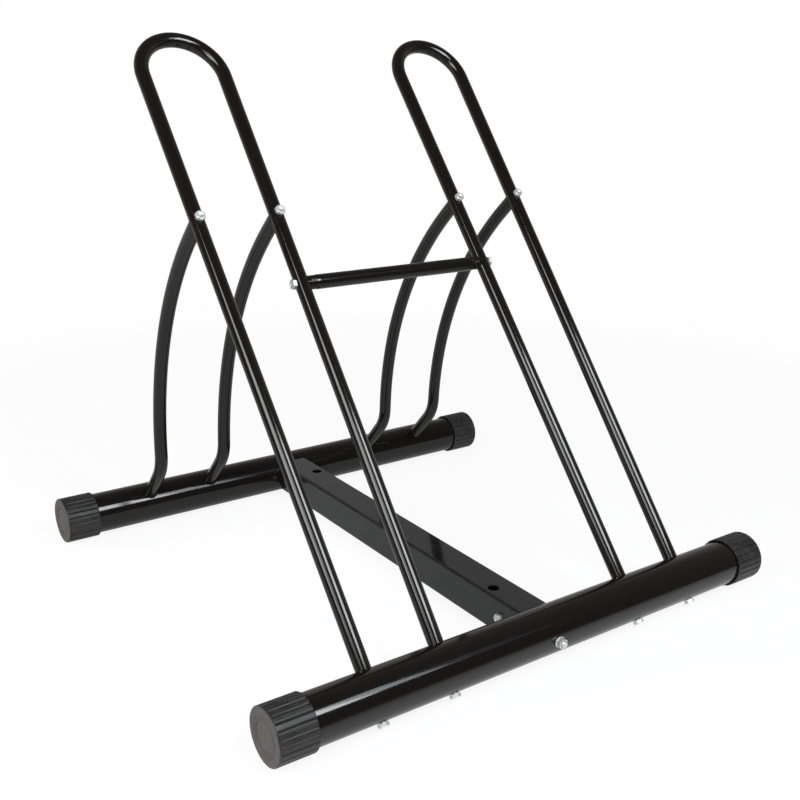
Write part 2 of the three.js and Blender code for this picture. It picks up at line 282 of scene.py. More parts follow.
class Finish:
    def __init__(self, name, world=None):
        self.owner = world or bpy.data.materials.new(name)
        self.owner.use_nodes = True
        self.tree = self.owner.node_tree
        self.tree.nodes.clear()

    # settings come first, then the values or links of the sockets
    def node(self, kind, settings=None, sockets=None, output=0):
        made = self.tree.nodes.new(kind)
        for setting, value in (settings or {}).items():
            if setting == "stops":
                self.setStops(made.color_ramp, value)
            else:
                setattr(made, setting, value)
        for socket, value in (sockets or {}).items():
            if isinstance(value, Signal):
                self.tree.links.new(value.socket, made.inputs[socket])
            else:
                made.inputs[socket].default_value = value
        return Signal(self, made.outputs[output]) if made.outputs else None

    def setStops(self, ramp, stops):
        while len(ramp.elements) < len(stops):
            ramp.elements.new(0.5)
        for element, (position, level) in zip(ramp.elements, stops):
            element.position = position
            element.color = (level, level, level, 1)

    def places(self):
        return self.node("ShaderNodeTexCoord", output="Object")

    def noise(self, places, scale, detail, roughness, stretch=None):
        if stretch:
            places = self.node("ShaderNodeMapping", {}, {"Vector": places, "Scale": stretch})
        return self.node("ShaderNodeTexNoise", {"noise_dimensions": "3D"}, {
            "Vector": places, "Scale": scale, "Detail": detail, "Roughness": roughness})

    # the noise's higher parts only, from nought at the first level to one at the second
    def patches(self, places, scale, detail, roughness, levels, stretch=None):
        spread = self.noise(places, scale, detail, roughness, stretch)
        return self.ramp(spread, ((levels[0], 0), (levels[1], 1)))

    def fromAxes(self, places):
        # distances from the nearer base tube's axis and from the rack's middle
        x, y, z = [self.node("ShaderNodeSeparateXYZ", {}, {"Vector": places}, output=axis)
                   for axis in "XYZ"]
        beside = y.size() - layout["tubeSpacing"] / 2
        above = z - tubeHeight
        return (beside * beside + above * above) ** 0.5, x.size()

    def ramp(self, signal, stops):
        return self.node("ShaderNodeValToRGB", {"stops": stops}, {"Fac": signal})

    def between(self, factor, first, second):
        return self.node("ShaderNodeMix", {"data_type": "RGBA"},
                         {0: factor, 6: colour(first), 7: colour(second)}, output=2)

    def bump(self, height, depth):
        return self.node("ShaderNodeBump", {}, {
            "Height": height, "Distance": depth, "Strength": 1.0})

    def vectorMath(self, operation, sockets):
        return self.node("ShaderNodeVectorMath", {"operation": operation}, sockets,
                         output="Value")

    def easing(self, value, start, end, least=0.0):
        return self.node("ShaderNodeMapRange", {"interpolation_type": "SMOOTHSTEP"}, {
            "Value": value, "From Min": start, "From Max": end, "To Min": least,
            "To Max": 1.0})

    def glow(self, level, tint):
        return self.node("ShaderNodeEmission", {}, {"Color": self.between(level, (0, 0, 0), tint)})

    def surface(self, sockets):
        self.finishWith(self.node("ShaderNodeBsdfPrincipled", {}, sockets, output="BSDF"))
        return self.owner

    def finishWith(self, shader):
        isWorld = isinstance(self.owner, bpy.types.World)
        self.node("ShaderNodeOutputWorld" if isWorld else "ShaderNodeOutputMaterial", {},
                  {"Surface": shader})


def colour(value):
    if isinstance(value, Signal):
        return value
    return (*value, 1)


glossCoat = {
    "colour": (0.0048, 0.0042, 0.0039),
    "thinColour": (0.0068, 0.0060, 0.0056),
    "dustColour": (0.03, 0.029, 0.028),
    "roughness": 0.07,
    "mottled": 0.0,
    "peelSize": 2.6 * mm,
    "peelDepth": 0.0009 * mm,
}
satinCoat = {
    "colour": (0.0036, 0.0038, 0.0044),
    "thinColour": (0.0125, 0.0130, 0.0142),
    "dustColour": (0.03, 0.029, 0.028),
    "roughness": 0.035,
    "mottled": 0.03,
    "peelSize": 3.0 * mm,
    "peelDepth": 0.009 * mm,
}


def makeCoat(name, look):
    # black powder coat: faint orange peel, a little dust, slight handling marks
    finish = Finish(name)
    places = finish.places()
    peel = finish.noise(places, 1 / look["peelSize"], 1.5, 0.4)
    fine = finish.noise(places, 4.5 / look["peelSize"], 2, 0.5)
    clouds = finish.noise(places, 14, 3, 0.55)
    mottle = finish.patches(places, 150, 4, 0.65, (0.34, 0.66))
    marks = finish.patches(places, 60, 5, 0.7, (0.52, 0.78))
    dust = finish.patches(places, 1900, 1, 0.5, (0.70, 0.76))
    base = finish.between(clouds * 0.5 + mottle * 0.5, look["colour"], look["thinColour"])
    return finish.surface({
        "Base Color": finish.between(dust * 0.5, base, look["dustColour"]),
        "Roughness": look["roughness"] + clouds * 0.05 + marks * 0.06 + dust * 0.15
        + mottle * look["mottled"],
        "Normal": finish.bump(peel * 0.75 + fine * 0.25, look["peelDepth"]),
        "IOR": 1.5,
    })


rubberLook = {
    "colour": (0.0075, 0.0071, 0.0071),
    "bloomColour": (0.034, 0.0329, 0.0337),
    "endColour": (0.071, 0.067, 0.066),
    "discColour": (0.098, 0.083, 0.077),
    "discRadius": 14.5 * mm,
    "discEdge": 0.8 * mm,
    # painted shade for the grooves
    "grooveColour": (0.004, 0.0038, 0.0038),
    "grooveRadius": 27.4 * mm,     # below this the rubber is in a groove
    "grooveEdge": 0.7 * mm,
    "endPlane": 323.2 * mm,        # beyond this it is on an end face
    "endEdge": 0.5 * mm,
    "scuffColour": (0.11, 0.104, 0.10),
    "roughness": 0.40,
    "grainDepth": 0.03 * mm,
}


def makeRubber(name, look):
    # moulded rubber: fine grain and a faint sheen on the ribs, painted shade in the grooves, bloom
    # and scuffs on the end faces
    finish = Finish(name)
    places = finish.places()
    grain = finish.noise(places, 2600, 3, 0.6)
    bloom = finish.patches(places, 75, 6, 0.7, (0.40, 0.64))
    scuff = finish.patches(places, 300, 5, 0.75, (0.55, 0.68))
    drags = finish.patches(places, 150, 4, 0.6, (0.40, 0.66), (0.25, 2.2, 2.2))
    # painted shade in the grooves, deeper in some grooves than in others
    grooveShadeAmount = finish.ramp(finish.noise(places, 45, 3, 0.6), ((0.36, 0.25), (0.62, 1)))
    across, along = finish.fromAxes(places)
    endFace = ((along - look["endPlane"]) / look["endEdge"]).held()
    disc = ((look["discRadius"] - across) / look["discEdge"]).held()
    groove = ((look["grooveRadius"] + look["grooveEdge"] - across) / look["grooveEdge"]).held()
    side = finish.between((bloom * 0.45 + drags * 0.55) * 0.8,
                          look["colour"], look["bloomColour"])
    # painted shade darkens the grooves, but not on the end faces
    grooved = finish.between(groove * grooveShadeAmount * (1 - endFace), side, look["grooveColour"])
    ending = finish.between(disc * (0.55 + bloom * 0.45), look["endColour"], look["discColour"])
    tone = finish.between(endFace * (0.78 + drags * 0.22), grooved, ending)
    return finish.surface({
        "Base Color": finish.between(scuff * (0.16 + endFace * 0.14), tone,
                                     look["scuffColour"]),
        "Roughness": look["roughness"] + bloom * 0.10 + grain * 0.06 + endFace * 0.18,
        "Normal": finish.bump(grain * 0.7 + scuff * 0.3, look["grainDepth"]),
        "IOR": 1.5,
    })


zincLook = {
    "colour": (0.66, 0.69, 0.69),
    "brightColour": (0.88, 0.89, 0.86),
    "roughness": 0.42,
    "grainDepth": 0.02 * mm,
}


def makeZinc(name, look):
    # bright zinc plate with a clear passivate, cloudy and finely scratched
    finish = Finish(name)
    places = finish.places()
    clouds = finish.noise(places, 420, 3, 0.6)
    grains = finish.noise(places, 2400, 2, 0.5)
    lines = finish.noise(places, 900, 3, 0.6, (1, 1, 9))
    return finish.surface({
        "Base Color": finish.between(clouds, look["colour"], look["brightColour"]),
        "Metallic": 1.0,
        "Roughness": look["roughness"] + clouds * 0.16 + grains * 0.10,
        "Normal": finish.bump(grains * 0.5 + lines * 0.5, look["grainDepth"]),
    })


steelLook = {
    "colour": (0.42, 0.42, 0.43),
    "stainColour": (0.20, 0.18, 0.16),
    "roughness": 0.34,
    "ringDepth": 0.02 * mm,
}


def makePlugSteel(name, look):
    # plain turned steel, slightly oily
    finish = Finish(name)
    places = finish.places()
    rings = finish.noise(places, 1500, 2, 0.5, (1, 1, 12))
    stain = finish.patches(places, 160, 4, 0.6, (0.4, 0.75))
    return finish.surface({
        "Base Color": finish.between(stain, look["colour"], look["stainColour"]),
        "Metallic": 1.0,
        "Roughness": look["roughness"] + stain * 0.22,
        "Normal": finish.bump(rings, look["ringDepth"]),
    })


finishes = {
    "paint": makeCoat("gloss_black_coat", glossCoat),
    "beam_paint": makeCoat("satin_black_coat", satinCoat),
    "cap_rubber": makeRubber("ribbed_cap_rubber", rubberLook),
    "zinc": makeZinc("bright_zinc", zincLook),
    "plug_steel": makePlugSteel("turned_steel", steelLook),
}
print("finishes made")


def fitPiece(piece, node, slot):
    piece.data.materials.clear()
    piece.data.materials.append(finishes[slot])
    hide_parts(node)
    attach(piece, "root")


# Frames of the two sides

lean = layout["hoopLean"]
footHalf = layout["footHalf"]
# The legs are tangents to the arch, so they spread a little on the way up, and each leg
# and its stay lie in one plane that tips sideways.
splay = math.asin(layout["archRadius"] / math.hypot(footHalf, layout["archHeight"])) \
    - math.atan2(footHalf, layout["archHeight"])
sideTilt = math.atan2(math.tan(splay), math.sin(lean))
sideSigns = {"left": -1, "right": 1}
sideFrames = {}
for hoopSide, hoopSign in sideSigns.items():
    for legSign in (-1, 1):
        position = "outer" if legSign == hoopSign else "inner"
        foot = frontAxis + alongX * (hoopSign * layout["hoopCentre"] + legSign * footHalf)
        sideFrames[f"{hoopSide}_{position}"] = Matrix.Translation(foot) \
            @ Matrix.Rotation(legSign * sideTilt, 4, "Y")


def hoopFrame(hoopSign):
    return Matrix.Translation(frontAxis + alongX * hoopSign * layout["hoopCentre"]) \
        @ Matrix.Rotation(lean, 4, "X")


def legOffset(height):
    return footHalf + height * math.tan(splay)


def sidePoint(height):
    # on a leg's axis, in its side frame, at a height along the hoop
    return Vector((0, height * math.cos(lean), height * math.sin(lean) / math.cos(sideTilt)))


legAlong = sidePoint(1).normalized()

stayShape = {
    "topAngle": 43 * degree,
    "footAngle": 48 * degree,
    "footLength": 75 * mm,
    "footBend": 50 * mm,
    "straight": 26 * mm,
    "plugEnd": 14 * mm,
    "footPlugEnd": 30 * mm,
    "curveSteps": 28,
    "bendSteps": 10,
}
stayTop = sidePoint(layout["stayTopHeight"])
stayTopAlong = Vector((0, math.cos(stayShape["topAngle"]), -math.sin(stayShape["topAngle"])))
stayFootAlong = Vector((0, -math.cos(stayShape["footAngle"]), math.sin(stayShape["footAngle"])))
stayFootAxis = alongY * layout["tubeSpacing"]      # the rear tube's axis, in a side frame

# Base tubes

baseTube = {
    "radius": 25.4 * mm,
    "wall": 1.5 * mm,
    "length": 640 * mm,
    "sides": 128,
    "step": 20 * mm,
}


def makeBaseTube(name, axis, holes):
    half = baseTube["length"] / 2
    tube = startRing(name, baseTube["radius"], baseTube["sides"], axis - alongX * half, alongX)
    steps = round(baseTube["length"] / baseTube["step"])
    extrudeAlong(alongX, [baseTube["step"]] * steps)
    mendFaces()
    giveWall(tube, baseTube["wall"])
    cutAway(tube, [rod(layout["boltHole"], point, direction) for point, direction in holes])
    smooth(tube)
    return tube


def sideHoles(point, direction):
    # the same line in each side frame, as points and directions in the rack's frame
    return [(side @ point, side.to_3x3() @ direction) for side in sideFrames.values()]


frontTube = makeBaseTube("frontBaseTube", frontAxis,
                         [(frontAxis, alongY)] + sideHoles(middle, legAlong))
rearTube = makeBaseTube("rearBaseTube", rearAxis,
                        [(rearAxis, alongY)] + sideHoles(stayFootAxis, stayFootAlong))
fitPiece(frontTube, "front_base_tube", "paint")
fitPiece(rearTube, "rear_base_tube", "paint")
print("base tubes made")

# End caps, ribbed outside. A cap is drawn standing on +Z with the tube's end at the origin.

cap = {
    "ribs": 24,
    "sidesPerRib": 10,
    "radius": 28.25 * mm,
    "bore": 25.7 * mm,
    "mouth": -36.7 * mm,
    "lead": 0.8 * mm,              # the bore widens by this at the mouth
    "floor": 0.3 * mm,             # the inside of the end, clear of the tube
    "end": 4.3 * mm,
    "edge": 1.8 * mm,
    "edgeSteps": 6,
    "grooveDepth": 0.9 * mm,
    "shoulderDepth": 0.30 * mm,
    "grooveStops": 2.3 * mm,
    "scallop": 1.1 * mm,
    # radius and depth along the end face: two fine rings, then the sunk disc
    "face": ((20.4, 0), (20.0, 0.5), (19.3, 0.5), (18.9, 0), (17.6, 0), (17.3, 0.35),
             (16.9, 0.35), (16.6, 0), (15.4, 0), (14.9, 0.7), (5.0, 0.7), (0, 0.7)),
}


def makeCap():
    radius, end, edge = cap["radius"], cap["end"], cap["edge"]
    bore, mouth, floor, stops = cap["bore"], cap["mouth"], cap["floor"], cap["grooveStops"]
    profile = [(floor, 0), (floor, 10 * mm), (floor, bore), (mouth + 1 * mm, bore),
               (mouth + 0.2 * mm, bore + cap["lead"] / 2), (mouth, bore + cap["lead"]),
               (mouth, radius - 0.5 * mm), (mouth + 0.5 * mm, radius),
               (mouth + 3 * mm, radius), (-18 * mm, radius), (stops - 1.2 * mm, radius),
               (stops, radius), (end - edge, radius)]
    for step in range(1, cap["edgeSteps"] + 1):
        turn = 90 * degree * step / cap["edgeSteps"]
        profile.append((end - edge + edge * math.sin(turn),
                        radius - edge + edge * math.cos(turn)))
    profile += [(end - depth * mm, size * mm) for size, depth in cap["face"]]
    model = turnProfile("capModel", profile, cap["ribs"] * cap["sidesPerRib"])
    startEditing(model)
    ribAngle = 2 * math.pi / cap["ribs"]

    def grooved(vert, distance):
        # a vertex of the outer wall that is this many steps from the middle of a groove
        angle = math.atan2(vert.co.y, vert.co.x) / ribAngle
        steps = abs(angle - math.floor(angle) - 0.5) * cap["sidesPerRib"]
        outside = vert.co.to_2d().length > bore + 1.2 * mm
        return outside and vert.co.z < stops - 0.3 * mm and abs(steps - distance) < 0.1

    for distance, depth in ((0, cap["grooveDepth"]), (1, cap["shoulderDepth"])):
        choose(model, "verts", lambda vert: grooved(vert, distance))
        factor = 1 - depth / radius
        scaleAbout(middle, (factor, factor, 1))
        # the mouth is scalloped, less so on the shoulders
        choose(model, "verts", lambda vert: grooved(vert, distance)
               and vert.co.z < mouth + 0.8 * mm)
        bpy.ops.transform.translate(value=(0, 0, cap["scallop"] * (1 - distance * 0.6)))
    clearSelection()
    smooth(model, 24)
    return model


capModel = makeCap()
for tubeName, axis in (("front", frontAxis), ("rear", rearAxis)):
    for side, sign in sideSigns.items():
        place = placeAt(axis + alongX * sign * baseTube["length"] / 2, alongX * sign)
        piece = copyTo(capModel, f"{tubeName}{side.title()}Cap", place)
        fitPiece(piece, f"end_cap_{tubeName}_{side}", "cap_rubber")
bpy.data.objects.remove(capModel)
print("end caps made")

# Connecting beam

beam = {
    "width": 40 * mm,
    "wall": 2 * mm,
    "corner": 3 * mm,
    "cornerSteps": 6,
    "holeRadius": 6.5 * mm,
    "holeInset": 72 * mm,
    "holeStagger": 7 * mm,
    "crossBoltInset": 19 * mm,
}
copeRadius = baseTube["radius"] + layout["gap"]
beamSpan = layout["tubeSpacing"] - 2 * copeRadius      # between the base tubes' walls
beamMiddle = Vector((0, 0, tubeHeight))


def crossBoltPoint(sign):
    return beamMiddle + alongY * sign * (beamSpan / 2 - beam["crossBoltInset"])


def makeBeam():
    clearSelection()
    bpy.ops.mesh.primitive_cube_add(size=1, location=beamMiddle,
                                    scale=(beam["width"], layout["tubeSpacing"], beam["width"]))
    tube = bpy.context.object
    tube.name = "connectingBeam"
    bpy.ops.object.transform_apply(location=True, rotation=True, scale=True)
    startEditing(tube)
    choose(tube, "edges", lambda edge: abs(edgeMiddle(edge).y) < 1e-6)
    bpy.ops.mesh.bevel(offset=beam["corner"], offset_type="OFFSET",
                       segments=beam["cornerSteps"], affect="EDGES")
    choose(tube, "faces", lambda face: abs(face.normal.y) > 0.9)
    bpy.ops.mesh.delete(type="FACE")
    mendFaces()
    giveWall(tube, beam["wall"])
    holes = [rod(copeRadius, axis, alongX, sides=layout["saddleSides"])
             for axis in (frontAxis, rearAxis)]
    for sign in (-1, 1):
        point = Vector((sign * beam["holeStagger"],
                        sign * (layout["tubeSpacing"] / 2 - beam["holeInset"]), tubeHeight))
        holes.append(rod(beam["holeRadius"], point, alongZ, sides=48))
        holes.append(rod(layout["boltHole"], crossBoltPoint(sign), alongX))
    cutAway(tube, holes)
    smooth(tube, 40)
    evenShading(tube)
    return tube


fitPiece(makeBeam(), "connecting_beam", "beam_paint")
print("beam made")

# Hoops, stays and the cross tube, all of one thinner tube

frameTube = {
    "radius": 8 * mm,
    "wall": 1.4 * mm,
    "sides": 48,
    "archSteps": 36,
    "plugEnd": 40 * mm,            # how far up a leg its plug reaches
    "feetReach": 80 * mm,          # the saddle cutter's reach, past both feet
    "drillReach": 12 * mm,         # through one leg only
    "holeMargin": 7 * mm,          # extra rings of vertices on both sides of a hole
    "saddleReach": 60 * mm,
    "saddleSides": 96,
}


def legUp(sign):
    return Vector((sign * math.sin(splay), math.cos(splay), 0))


def legSaddle(point, direction):
    # cuts an end to sit on a leg
    return rod(frameTube["radius"] + layout["gap"], point, direction,
               frameTube["saddleReach"], frameTube["saddleSides"])


def makeHoop(name, inwardSign):
    # drawn flat with +Y up the hoop, from the right foot over the arch to the left one
    arch = alongY * layout["archHeight"]
    start = baseTube["radius"] / 2
    foot = alongX * footHalf + legUp(1) * start
    archStart = arch + Vector((math.cos(splay), -math.sin(splay), 0)) * layout["archRadius"]
    run = (archStart - foot).length
    margin = frameTube["holeMargin"]
    marks = [start, frameTube["plugEnd"], layout["crossTubeHeight"] - margin,
             layout["crossTubeHeight"] + margin, layout["stayTopHeight"] - margin,
             layout["stayTopHeight"] + margin, run + start]
    lengths = [after - before for before, after in zip(marks, marks[1:])]
    hoop = startRing(name, frameTube["radius"], frameTube["sides"], foot, legUp(1))
    extrudeAlong(legUp(1), lengths)
    spinRound(arch, alongZ, math.pi + 2 * splay, frameTube["archSteps"])
    extrudeAlong(-legUp(-1), reversed(lengths))
    mendFaces()
    giveWall(hoop, frameTube["wall"])
    cutters = [rod(copeRadius, middle, alongX, frameTube["feetReach"],
                   layout["saddleSides"])]
    drill = frameTube["drillReach"]
    crossPoint = Vector((inwardSign * legOffset(layout["crossTubeHeight"]),
                         layout["crossTubeHeight"], 0))
    cutters.append(rod(layout["boltHole"], crossPoint, alongX, drill))
    toHoop = hoopFrame(-inwardSign).inverted()
    side = "left" if inwardSign > 0 else "right"
    for position in ("inner", "outer"):
        leg = toHoop @ sideFrames[f"{side}_{position}"]
        cutters.append(rod(layout["boltHole"], leg @ stayTop, leg.to_3x3() @ stayTopAlong,
                           drill))
    cutAway(hoop, cutters)
    smooth(hoop)
    return hoop


for side, sign in sideSigns.items():
    model = makeHoop(f"{side}HoopModel", -sign)
    fitPiece(copyTo(model, f"{side}Hoop", hoopFrame(sign)), f"hoop_{side}", "paint")
    bpy.data.objects.remove(model)
print("hoops made")


def makeStay():
    # drawn in a side frame: straight past its plug, down the long curve, back through the
    # foot bend, and straight to the rear tube
    start = stayTop + stayTopAlong * stayShape["straight"]
    inward = Vector((0, -math.sin(stayShape["topAngle"]), -math.cos(stayShape["topAngle"])))
    besideFoot = Vector((0, math.sin(stayShape["footAngle"]), math.cos(stayShape["footAngle"])))
    footStart = stayFootAxis + stayFootAlong * stayShape["footLength"]
    bendCentre = footStart + besideFoot * stayShape["footBend"]
    reach = bendCentre - start
    bend = stayShape["footBend"]
    curveRadius = (reach.length_squared - bend ** 2) / 2 / (bend + reach.dot(inward))
    curveCentre = start + inward * curveRadius
    endAngle = math.atan2(bendCentre.z - curveCentre.z, bendCentre.y - curveCentre.y)
    curveSweep = math.pi / 2 - stayShape["topAngle"] - endAngle
    bendSweep = math.pi / 2 - stayShape["footAngle"] - endAngle
    stay = startRing("stayModel", frameTube["radius"], frameTube["sides"], stayTop, stayTopAlong)
    extrudeAlong(stayTopAlong, [stayShape["plugEnd"],
                                stayShape["straight"] - stayShape["plugEnd"]])
    spinRound(curveCentre, alongX, -curveSweep, stayShape["curveSteps"])
    spinRound(bendCentre, alongX, bendSweep, stayShape["bendSteps"])
    footRun = stayShape["footLength"] - stayShape["footPlugEnd"] - baseTube["radius"] / 2
    extrudeAlong(-stayFootAlong, [stayShape["footPlugEnd"], footRun])
    mendFaces()
    giveWall(stay, frameTube["wall"])
    cutAway(stay, [legSaddle(stayTop, legAlong),
                   rod(copeRadius, stayFootAxis, alongX, sides=layout["saddleSides"])])
    smooth(stay)
    return stay


stayModel = makeStay()
for name, place in sideFrames.items():
    side, position = name.split("_")
    piece = copyTo(stayModel, f"{side}{position.title()}Stay", place)
    fitPiece(piece, f"stay_{name}", "paint")
bpy.data.objects.remove(stayModel)
print("stays made")

crossTube = {
    "neckDepth": 0.35 * mm,
    "rings": 4,
    "firstRing": 1.2 * mm,         # from the leg's wall
    "ringPitch": 1.7 * mm,
    "ringWidth": 0.7 * mm,
    "ringDepth": 0.3 * mm,
    "neckLength": 8.6 * mm,
    "neckRise": 0.8 * mm,
    "plugEnd": 12 * mm,
}
crossMiddle = frontAxis + Vector((0, math.cos(lean), math.sin(lean))) * layout["crossTubeHeight"]
crossHalf = layout["hoopCentre"] - legOffset(layout["crossTubeHeight"])


def makeCrossTube():
    # its ends are necked in over the plugs, with pressed rings
    full, neck = frameTube["radius"], frameTube["radius"] - crossTube["neckDepth"]
    wallAt = crossHalf - frameTube["radius"]
    neckEnd = wallAt - crossTube["neckLength"]
    half = [(crossHalf, neck)]
    for ring in range(crossTube["rings"]):
        at = wallAt - crossTube["firstRing"] - ring * crossTube["ringPitch"]
        half += [(at, neck), (at - crossTube["ringWidth"] / 2, neck - crossTube["ringDepth"]),
                 (at - crossTube["ringWidth"], neck)]
    half += [(neckEnd, neck), (neckEnd - crossTube["neckRise"], full),
             (wallAt - crossTube["plugEnd"], full), (crossHalf / 2, full)]
    profile = [(-at, size) for at, size in half] + [(0, full)] \
        + [(at, size) for at, size in reversed(half)]
    model = turnProfile("crossTubeModel", profile, frameTube["sides"])
    giveWall(model, frameTube["wall"])
    tube = copyTo(model, "crossTube", placeAt(crossMiddle, alongX))
    bpy.data.objects.remove(model)
    cutters = []
    for side in sideSigns:
        leg = sideFrames[f"{side}_inner"]
        cutters.append(legSaddle(leg @ sidePoint(layout["crossTubeHeight"]),
                                 leg.to_3x3() @ legAlong))
    cutAway(tube, cutters)
    smooth(tube)
    return tube


fitPiece(makeCrossTube(), "cross_tube", "paint")
print("cross tube made")

# Fasteners. Each is drawn with its seat at the origin and its bolt running up +Z.

fastener = {
    "boltRadius": 3 * mm,
    "flats": 10 * mm,
    "cornerTurn": 0.95,            # the corners are turned down from here, out of the flats
    "headHeight": 4 * mm,
    # height and radius from the head's top down into its dish
    "dish": ((-1, 3.6), (0, 3.3), (0.5, 2.7), (0.8, 1.6), (0.8, 0)),
    "nutHeight": 5 * mm,
    "countersink": 1.6 * mm,
    "threadLength": 18 * mm,
    "pitch": 1 * mm,
    "threadDepth": 0.35 * mm,
    "washerRadius": 6 * mm,
    "washerThickness": 1.2 * mm,
    "washerEdge": 0.2 * mm,
    "endProud": 3 * mm,
    "plugLength": 16 * mm,
    "plugSetback": 1 * mm,
    "endPastPlug": 2 * mm,
    "bracketPlate": 3 * mm,
}
headReach = fastener["flats"] / 2 / math.cos(math.pi / 6)


def hexBlock(name, bottom, top, bevelled):
    # a hexagon whose corners are turned down at the given ends
    clearSelection()
    bpy.ops.mesh.primitive_cylinder_add(vertices=6, radius=headReach, depth=top - bottom,
                                        location=(0, 0, (top + bottom) / 2))
    block = bpy.context.object
    block.name = name
    bpy.ops.object.transform_apply(location=True, rotation=True, scale=True)
    inner = fastener["flats"] / 2 * fastener["cornerTurn"]
    slope = (headReach - inner) * math.tan(30 * degree)
    wide = headReach + 0.5 * mm
    profile = [(bottom, 0), (bottom, inner if "bottom" in bevelled else wide)]
    if "bottom" in bevelled:
        profile += [(bottom + slope, headReach), (bottom + slope * 1.1, wide)]
    if "top" in bevelled:
        profile += [(top - slope * 1.1, wide), (top - slope, headReach), (top, inner), (top, 0)]
    else:
        profile += [(top, wide), (top, 0)]
    combine(block, "INTERSECT", [turnProfile("corners", profile, 48)])
    return block


def makeBolt(length):
    top = -fastener["headHeight"]
    head = hexBlock("boltModel", top, 0, ("bottom",))
    dish = [(top - 1 * mm, 0)] + [(top + at * mm, size * mm) for at, size in fastener["dish"]]
    cutAway(head, [turnProfile("dish", dish, 36)])
    radius, depth, pitch = fastener["boltRadius"], fastener["threadDepth"], fastener["pitch"]
    thread = fastener["threadLength"]
    profile = [(-1 * mm, 0), (-1 * mm, radius), (length - thread, radius)]
    for turn in range(round(thread / pitch)):
        at = length - thread + turn * pitch
        profile += [(at + pitch * 0.45, radius - depth), (at + pitch * 0.95, radius)]
    profile = [point for point in profile if point[0] < length - 0.6 * mm]
    profile += [(length - 0.5 * mm, radius - 0.1 * mm), (length, radius - 0.6 * mm), (length, 0)]
    combine(head, "UNION", [turnProfile("shank", profile, 24)])
    smooth(head, 28)
    return head


def makeNut():
    nut = hexBlock("nutModel", 0, fastener["nutHeight"], ("bottom", "top"))
    radius, top = fastener["boltRadius"] + layout["gap"], fastener["nutHeight"]
    wide = radius + fastener["countersink"]
    bore = turnProfile("bore", [(-1 * mm, 0), (-1 * mm, wide), (0.6 * mm, radius),
                                (top - 0.6 * mm, radius), (top + 1 * mm, wide),
                                (top + 1 * mm, 0)], 36)
    cutAway(nut, [bore])
    smooth(nut, 28)
    return nut


def makeWasher():
    inner, outer = fastener["boltRadius"] + layout["gap"], fastener["washerRadius"]
    thickness, edge = fastener["washerThickness"], fastener["washerEdge"]
    washer = turnProfile("washerModel", [
        (0, inner), (0, outer - edge), (edge, outer), (thickness - edge, outer),
        (thickness, outer - edge), (thickness, inner), (0, inner)], 64)
    smooth(washer, 50)
    return washer


def placeEach(model, places):
    # places holds a piece's name, its CAD node, its seat and the way its bolt runs
    for name, node, seat, direction in places:
        fitPiece(copyTo(model, name, placeAt(seat, direction)), node, "zinc")
    bpy.data.objects.remove(model)


def headDepth(crossedRadius, slant):
    # how far a head's seat is from the crossed tube's axis
    return (crossedRadius + layout["gap"]) / math.cos(slant) + headReach * math.tan(slant)


def pluggedLength(crossedRadius, slant):
    return headDepth(crossedRadius, slant) + crossedRadius + fastener["plugSetback"] \
        + fastener["plugLength"] + fastener["endPastPlug"]


def throughSides(kind, point, direction, crossedRadius, slant):
    places = []
    for name, side in sideFrames.items():
        across = side.to_3x3() @ direction
        seat = side @ point - across * headDepth(crossedRadius, slant)
        words = "".join(word.title() for word in f"{kind}_{name}_bolt".split("_"))
        places.append((words[0].lower() + words[1:], f"{kind}_{name}_bolt", seat, across))
    return places


topSlant = abs(lean + stayShape["topAngle"] - math.pi / 2)
placeEach(makeBolt(pluggedLength(baseTube["radius"], sideTilt)),
          throughSides("hoop_foot", middle, legAlong, baseTube["radius"], sideTilt)
          + throughSides("stay_foot", stayFootAxis, stayFootAlong, baseTube["radius"], sideTilt))
placeEach(makeBolt(pluggedLength(frameTube["radius"], topSlant)),
          throughSides("stay_top", stayTop, stayTopAlong, frameTube["radius"], topSlant))
placeEach(makeBolt(pluggedLength(frameTube["radius"], splay)), [
    (f"crossTube{side.title()}Bolt", f"cross_tube_{side}_bolt",
     crossMiddle + alongX * sign * (crossHalf + headDepth(frameTube["radius"], splay)),
     alongX * -sign) for side, sign in sideSigns.items()])

endSeats, washers, nuts, crossBolts = [], [], [], []
sideFace = beam["width"] / 2 + layout["gap"]
for end, sign in (("front", -1), ("rear", 1)):
    outward = alongY * sign
    web = beamMiddle + outward * beamSpan / 2
    washerFace = web + outward * 2 * copeRadius
    nutFace = washerFace + outward * (fastener["washerThickness"] + layout["gap"])
    seat = web - outward * (fastener["bracketPlate"] + layout["gap"])
    endSeats.append((f"{end}EndBolt", f"beam_end_bolt_{end}", seat, outward))
    washers.append((f"{end}Washer", f"beam_end_washer_{end}", washerFace, outward))
    nuts.append((f"{end}EndNut", f"beam_end_nut_{end}", nutFace, outward))
    crossBolts.append((f"{end}CrossBolt", f"beam_cross_bolt_{end}",
                       crossBoltPoint(sign) - alongX * sideFace, alongX))
    nuts.append((f"{end}CrossNut", f"beam_cross_nut_{end}",
                 crossBoltPoint(sign) + alongX * sideFace, alongX))
proud = fastener["nutHeight"] + fastener["endProud"]
placeEach(makeBolt((nutFace - seat).length + proud), endSeats)
placeEach(makeBolt(2 * sideFace + proud), crossBolts)
placeEach(makeWasher(), washers)
placeEach(makeNut(), nuts)
print("fasteners made")

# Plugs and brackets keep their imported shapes.

for name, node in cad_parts.items():
    if name.endswith("_plug") or "bracket" in name:
        kept = "plug_steel" if name.endswith("_plug") else "beam_paint"
        node.data.materials.clear()
        node.data.materials.append(finishes[kept])

# Studio

